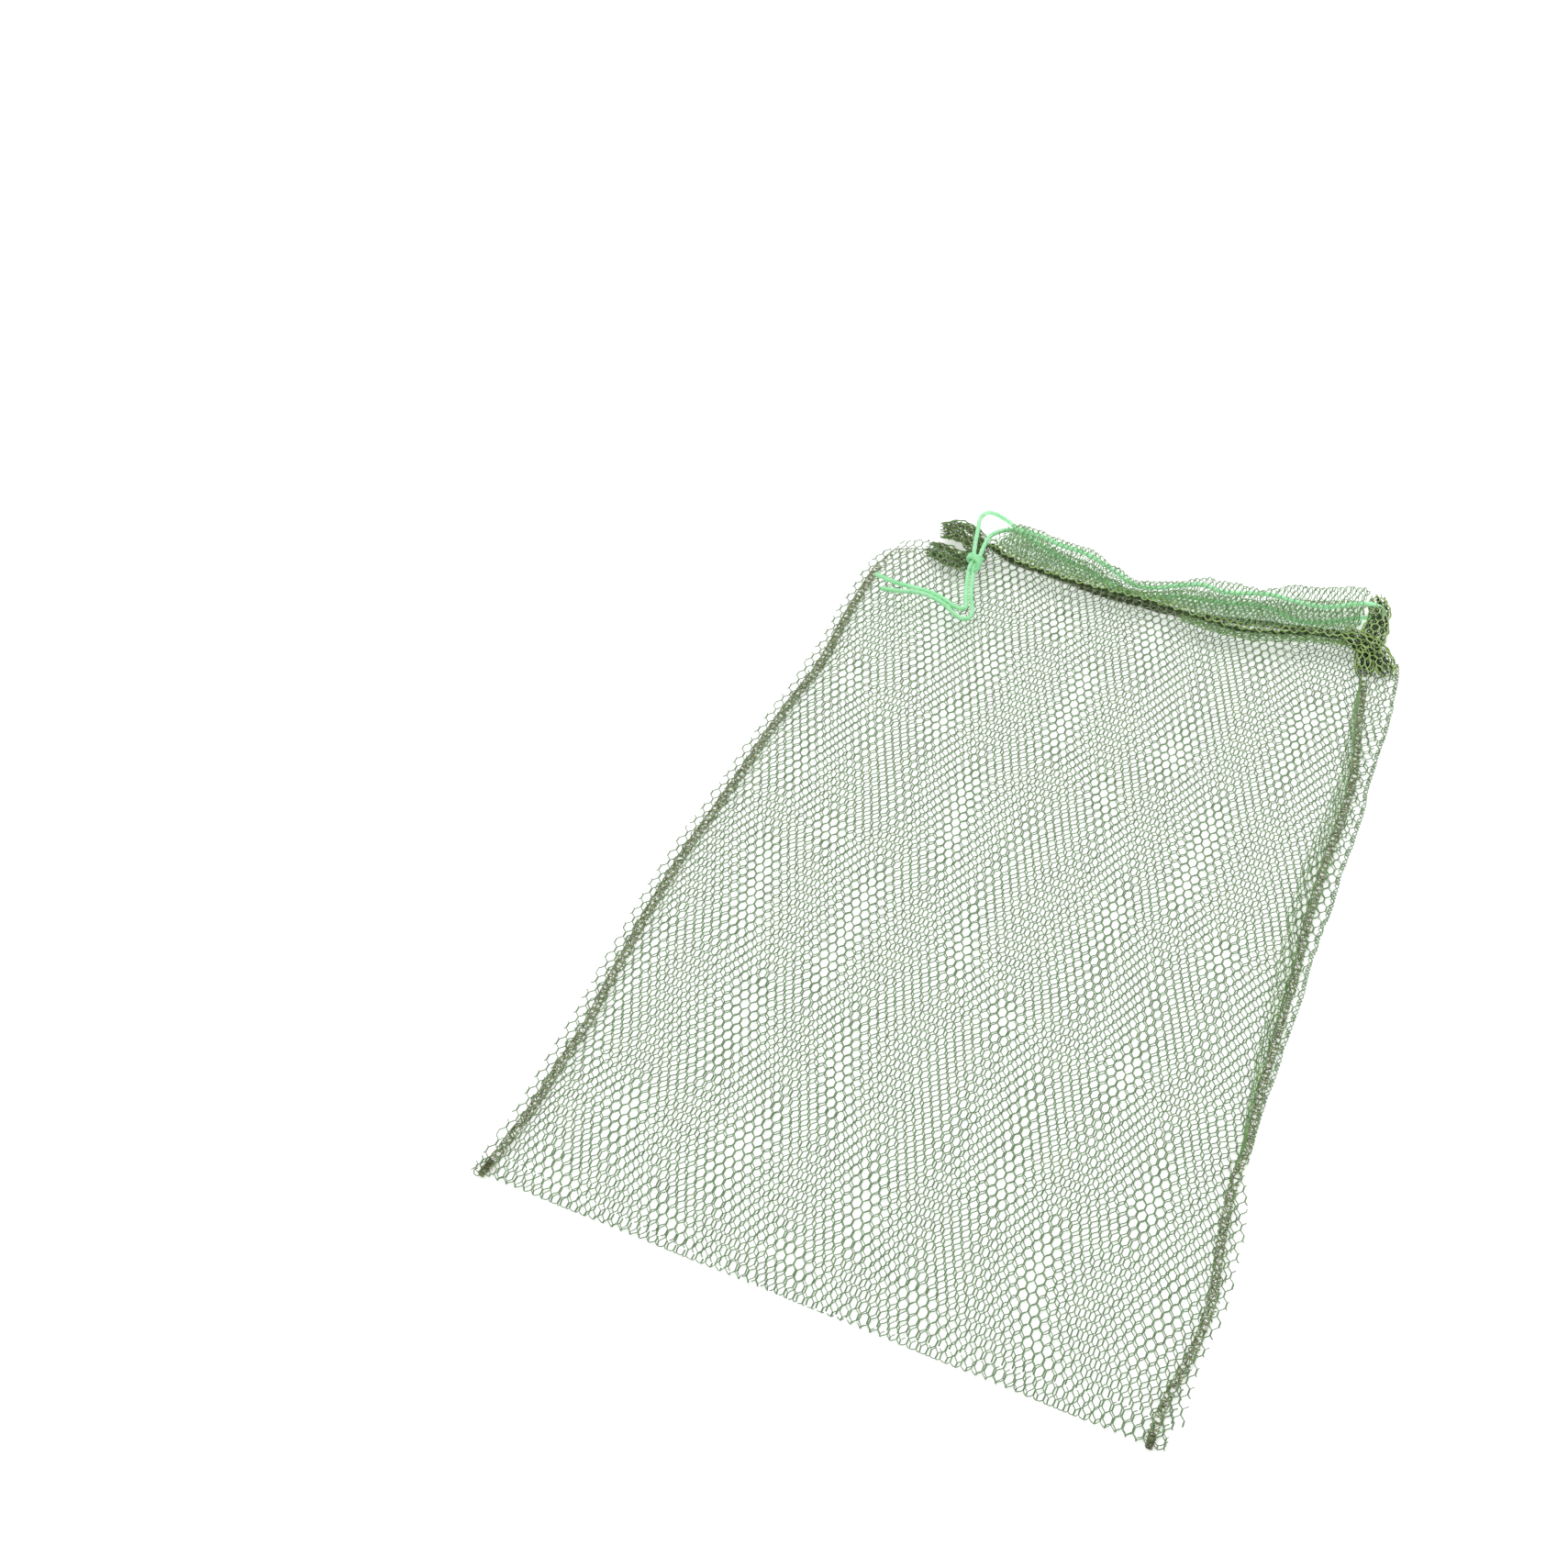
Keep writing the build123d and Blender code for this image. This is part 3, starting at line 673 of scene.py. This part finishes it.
def tack(side, points, loose_end=()):
    """The back-tacked thread at the lower end of a side seam."""
    line = spline(points, 0.002)
    line = line[line[:, 1] < points[0][1] + TACK_TO]
    paths = [wound(line, 0.0030, 0.0025, 0.0010, phase=0.2),
             wound(line, 0.0026, 0.0027, 0.0013, phase=0.5)]
    paths += crushed(line, 0.0026, 0.0020, 6, 0.0002, seed=71)
    if loose_end:
        end = spline(loose_end, 0.0004)
        paths.append(np.column_stack([end, np.full(len(end), 0.0012)]))
    # The tack's crowded thread and net get the darkened yarn: painted shade between its strands.
    threads(f"{side}_tack_thread", paths, 0.00024, f"{side}_corner_tack", CROWD_SHADED_YARN)


def drawn_up_net():
    """Cells that the right seam has drawn up beside it, narrower than the rest."""
    columns, wide, step = 4, 0.0080, 0.0006
    line = evenly(spline(RIGHT_SEAM[10:], 0.002), step)
    aside = side_frame(line)
    rows = step * (len(line) - 1) / ROW * 1.15

    def shape(u, v, bump):
        place = np.clip(v / rows, 0, 1)
        near = np.floor(place * (len(line) - 1)).astype(int)
        taper = np.sin(place * math.pi) ** 0.9
        out = 0.0012 + wide * taper * (u / columns + ripple(v, v * 0 + u, 51, 7.0, 0.12))
        x, y = (line[near] + aside[near] * out[:, None]).T
        z = 0.0022 + 0.0030 * taper * u / columns + ripple(x, y, 53, 0.02, 0.0005)
        return x, y, np.maximum(z, 0.0006) + bump

    net("right_drawn_up_net", knit((0, columns), (0, rows), shape), ["right_side_seam"],
        PUCKERED, 0.00020, transported)


def seams():
    """Both side seams with their tacks, and the net that the right one draws up."""
    overlock("left", LEFT_SIDE, -1, THREAD, corner=spline(LEFT_SEAM[19:], 0.002))
    tack("left", LEFT_SIDE, LOOSE_END)
    overlock("right", RIGHT_SEAM, 1, PUCKERED)
    tack("right", RIGHT_SEAM)
    drawn_up_net()


def left_end(y, foot, top):
    """The x of a hem's open left end, which slants from its foot to its fold."""
    (x0, y0), (x1, y1) = foot[0], top[0]
    return x0 + (x1 - x0) * (y - y0) / (y1 - y0)


def hem_shape(foot, top, base):
    """Places for the net of a hem: up the outside, over the fold and down the inside."""
    height, rows, gather = 0.0038, 6, 1.55

    def shape(u, v, bump):
        wander = ripple(v * 3.0, v * 2.0 + u * 40, 31, 4.0, 0.0005)
        x = np.clip(u * PITCH / gather + wander, HEM_FROM, HEM_TO)
        low, high = smooth_y(foot, x), smooth_y(top, x)
        place = np.clip(v / rows, 0, 2) - 1
        turn = np.clip(place / 0.10, -1, 1) * math.pi / 2
        run = 1 - np.clip(np.abs(place) - 0.10, 0, 1) / 0.90
        slack = np.sin(run * math.pi) * height * 0.16
        y = low + (high - low - 0.0012) * run + 0.0012 * np.cos(turn)
        z = base + height / 2 - np.sin(turn) * (height / 2 + slack)
        loose = 0.0008 + 0.0010 * np.clip((x - 0.015) / 0.02, 0, 1) * run ** 3
        y = y + ripple(x, y, 33, 0.012, 1.0) * loose * np.clip(1.2 * run, 0, 1)
        return x, y, z + ripple(x, y, 35, 0.010, 0.0004) + bump * np.cos(turn + 0.4)

    return shape


def hem(side, foot, top, base):
    """The folded net of one side's hem."""
    yarns = knit((-32, 37), (0, 12), hem_shape(foot, top, base),
                 lambda x, y: (x > left_end(y, foot, top)) & (x < HEM_TO - 0.001))
    net(f"{side}_hem_net", yarns, [f"{side}_hem_channel"], HEMMED,
        0.00021, transported)


def upper_stitching():
    """The thread wound along the upper hem's foot, and the shaded net crushed under it."""
    line = spline(HEM_FOOT, 0.002)
    band = line - side_frame(line) * 0.0012
    over = [wound(band, 0.0030, 0.0014, 0.0044, UPPER_STITCH_Z)]
    threads("upper_hem_zigzag", over, 0.00020, "upper_hem_stitching")
    caught = crushed(line, 0.0030, 0.0010, 11, UPPER_STITCH_Z, seed=23)
    # The net crushed under the thread gets near-black yarn: painted shade.
    threads("upper_hem_caught_net", caught, 0.00026, "upper_hem_stitching", PAINTED_SHADE_YARN)


def lower_stitching():
    """The brown band of thread along the lower hem's foot."""
    line = spline(LOWER_HEM_FOOT, 0.002)
    band = line - side_frame(line) * 0.0012
    over = [wound(band, 0.0036, 0.0019, 0.0028, LOWER_STITCH_Z),
            wound(band, 0.0028, 0.0023, 0.0036, LOWER_STITCH_Z, phase=0.3),
            needle(band, 0.0010, LOWER_STITCH_Z + 0.0018, 8),
            needle(band, -0.0011, LOWER_STITCH_Z + 0.0017, 9)]
    threads("lower_hem_zigzag", over, 0.00022, "lower_hem_stitching", BROWN)
    caught = crushed(band, 0.0038, 0.0016, 9, LOWER_STITCH_Z, seed=23)
    threads("lower_hem_caught_net", caught, 0.00024, "lower_hem_stitching", BROWN)


def loops(line, low):
    """A row of open cells that stand up along a line of stitching."""
    step = 0.0003
    line = evenly(line, step)
    aside = side_frame(line)
    turn = 2 * math.pi * step * np.arange(len(line)) / PITCH
    yarns = []
    for half in (0, 1):
        swing = 0.0021 * np.abs(np.sin(turn / 2)) ** 0.7
        out = (-1) ** half * swing + 0.0003 * drift(len(line), 30, 81)
        up = low + 0.0030 + 0.0005 * np.cos(turn / 2 + half)
        yarns.append(np.column_stack([line + aside * out[:, None], up]))
    return yarns


def turned_edge():
    """The row of open cells along the upper stitching, and the net turned under at its right."""
    line = spline(HEM_FOOT, 0.002)
    standing = tubes("upper_hem_loops", loops(line, UPPER_STITCH_Z), 0.00036)
    # The standing loops are painted lighter than the net: painted light on the raised cells.
    dress(standing, PAINTED_LIT_YARN, "bag", ["upper_hem_stitching"])
    at_right = line[:, 0] > 0.015
    under = line[at_right] - side_frame(line)[at_right] * 0.0042
    path = np.column_stack([under, np.full(len(under), 0.0100)])
    net("upper_hem_turned_edge", bundle(path, 0.0080, 0.0016, 10, 31, row=0.0040),
        ["upper_hem_stitching"], PUCKERED, 0.00022,
        transported)


def hems():
    """The folded hem of each side of the mouth, and the stitching along its foot."""
    hem("upper", HEM_FOOT, HEM_TOP, 0.0095)
    upper_stitching()
    hem("lower", LOWER_HEM_FOOT, LOWER_HEM_TOP, 0.0003)
    lower_stitching()
    turned_edge()


def bundle(line, width, height, count, seed, row=0.0030):
    """Zigzag yarns of net that is pushed together round a line through space."""
    step = 0.0006
    rng = np.random.default_rng(seed)
    line = evenly(spline(line, 0.001), step)
    side, up = transported(line)
    along = step * np.arange(len(line))
    swell = 0.55 + 0.45 * np.sin(np.linspace(0.15, 0.9, len(line)) * math.pi)
    yarns = []
    for number in range(count):
        reach, angle = math.sqrt(rng.uniform(0.05, 1)), rng.uniform(0, 2 * math.pi)
        a = reach * math.cos(angle) * swell + 0.22 * drift(len(line), 9, seed * 100 + number)
        b = reach * math.sin(angle) * swell + 0.22 * drift(len(line), 9, seed * 100 + 50 + number)
        teeth = 0.0009 * (np.abs(((along / row + rng.uniform()) % 1) * 2 - 1) * 2 - 1)
        lean = rng.uniform(0, 2 * math.pi)
        yarn = (line + side * (a * width / 2 + teeth * math.cos(lean))[:, None]
                + up * (b * height / 2 + teeth * math.sin(lean))[:, None])
        first, last = rng.integers(0, 6), len(line) - rng.integers(0, 6)
        yarn[:, 2] = np.maximum(yarn[:, 2], 0.0003)
        yarns.append(yarn[first:last])
    return yarns


def sleeve(line, width, height, columns, seed, squeeze=1.25):
    """Net wrapped round a line through space, with whole cells showing."""
    step = 0.0004
    line = evenly(spline(line, 0.001), step)
    side, up = transported(line)
    rows = step * (len(line) - 1) / ROW * squeeze

    def shape(u, v, bump):
        at = np.clip(v / rows, 0, 1) * (len(line) - 1)
        near = np.floor(at).astype(int)
        around = 2 * math.pi * u / columns
        lumps = ripple(v, np.cos(around) * 2, seed, 3.0, 0.13)
        size = 1 + lumps + ripple(v, around, seed + 1, 1.2, 0.07)
        size = size * (0.72 + 0.28 * np.sin(v / rows * math.pi))
        place = (line[near] + side[near] * (np.cos(around) * size * width / 2)[:, None]
                 + up[near] * (np.sin(around) * size * height / 2 + bump)[:, None])
        return place[:, 0], place[:, 1], np.maximum(place[:, 2], 0.0003)

    return knit((0, columns), (0, rows), shape)


def bunch(side, kind, yarns, material, radius=0.00024):
    """The loose yarns or the whole cells of the gathered net at one end of the mouth."""
    net(f"{side}_gathered_{kind}", yarns, [f"{side}_mouth_bunch"],
        material, radius, transported)


def bunches():
    """The gathered net at both ends of the mouth."""
    upper = [(-0.1205, 0.224, 0.0050), (-0.113, 0.2255, 0.0068), (-0.105, 0.2230, 0.0078),
             (-0.0985, 0.2175, 0.0082), (-0.0925, 0.2125, 0.0090)]
    lower = [(-0.1215, 0.2095, 0.0030), (-0.1150, 0.2080, 0.0052), (-0.1070, 0.2040, 0.0066),
             (-0.0990, 0.2035, 0.0080), (-0.0915, 0.2100, 0.0094)]
    yarns = bundle(upper, 0.0125, 0.0095, 36, 3) + bundle(lower, 0.0110, 0.0090, 38, 4)
    # The left bunch's inner yarns get the darkened yarn: painted shade inside the bunch.
    bunch("left", "yarns", yarns, CROWD_SHADED_YARN)
    cells = sleeve(upper, 0.0135, 0.0100, 12, 7) + sleeve(lower, 0.0120, 0.0090, 11, 9)
    bunch("left", "cells", cells, PUCKERED)
    post = [(0.1055, 0.2590, 0.0070), (0.1085, 0.2500, 0.0072), (0.1105, 0.2380, 0.0070),
            (0.1105, 0.2260, 0.0068), (0.1110, 0.2140, 0.0055), (0.1125, 0.2060, 0.0035)]
    arm = [(0.0960, 0.2235, 0.0090), (0.1040, 0.2230, 0.0085), (0.1120, 0.2200, 0.0078),
           (0.1190, 0.2160, 0.0060), (0.1235, 0.2100, 0.0040)]
    yarns = bundle(post, 0.0095, 0.0090, 26, 5) + bundle(arm, 0.0120, 0.0080, 26, 6)
    # The right bunch's inner yarns are near-black: painted shade inside the bunch.
    bunch("right", "yarns", yarns, PAINTED_SHADE_YARN)
    cells = sleeve(post, 0.0125, 0.0105, 10, 15, 1.1) + sleeve(arm, 0.0150, 0.0095, 10, 17, 1.1)
    # The right bunch's outer cells are painted far lighter than the net: painted light.
    bunch("right", "cells", cells, PAINTED_LIT_YARN, 0.00032)


# ---------------------------------------------------------------- the studio, and all of it
def camera():
    """The camera, at the photograph's angle."""
    data = bpy.data.cameras.new("camera")
    data.lens, data.sensor_width = LENS, SENSOR
    data.clip_start, data.clip_end = 0.01, 20
    eye = link("camera", data)
    eye.location = EYE
    eye.rotation_euler = (Vector(AIM) - eye.location).to_track_quat("-Z", "Y").to_euler()
    bpy.context.scene.camera = eye


def lights():
    """Even soft studio light."""
    bpy.context.scene.view_settings.view_transform = "Standard"
    world = bpy.data.worlds.new("studio")
    world.use_nodes = True
    background = world.node_tree.nodes["Background"]
    background.inputs["Color"].default_value = (1, 1, 1, 1)
    background.inputs["Strength"].default_value = WORLD_STRENGTH
    bpy.context.scene.world = world
    lamp = bpy.data.lights.new("overhead", "AREA")
    lamp.shape, lamp.size, lamp.energy = "DISK", LAMP_SIZE, LAMP_WATTS
    light = link("overhead", lamp)
    light.location = LAMP_AT
    light.rotation_euler = (-light.location).to_track_quat("-Z", "Y").to_euler()


def white_floor():
    """A plain pale floor, lit a little from within so that it shows white."""
    mesh = bpy.data.meshes.new("floor")
    far = FLOOR_REACH
    mesh.from_pydata([(-far, -far, 0), (far, -far, 0), (far, far, 0), (-far, far, 0)], [],
                     [(0, 1, 2, 3)])
    floor = link("floor", mesh)
    floor.location.z = FLOOR_Z
    paper, _, _, shader = principled("white_paper", 0.9)
    shader.inputs["Base Color"].default_value = (FLOOR_GREY, FLOOR_GREY, FLOOR_GREY, 1)
    shader.inputs["Emission Color"].default_value = (1, 1, 1, 1)
    shader.inputs["Emission Strength"].default_value = FLOOR_GLOW
    floor.data.materials.append(paper)


camera()
drawcord()
panels()
allowances()
seams()
hems()
bunches()
lights()
white_floor()
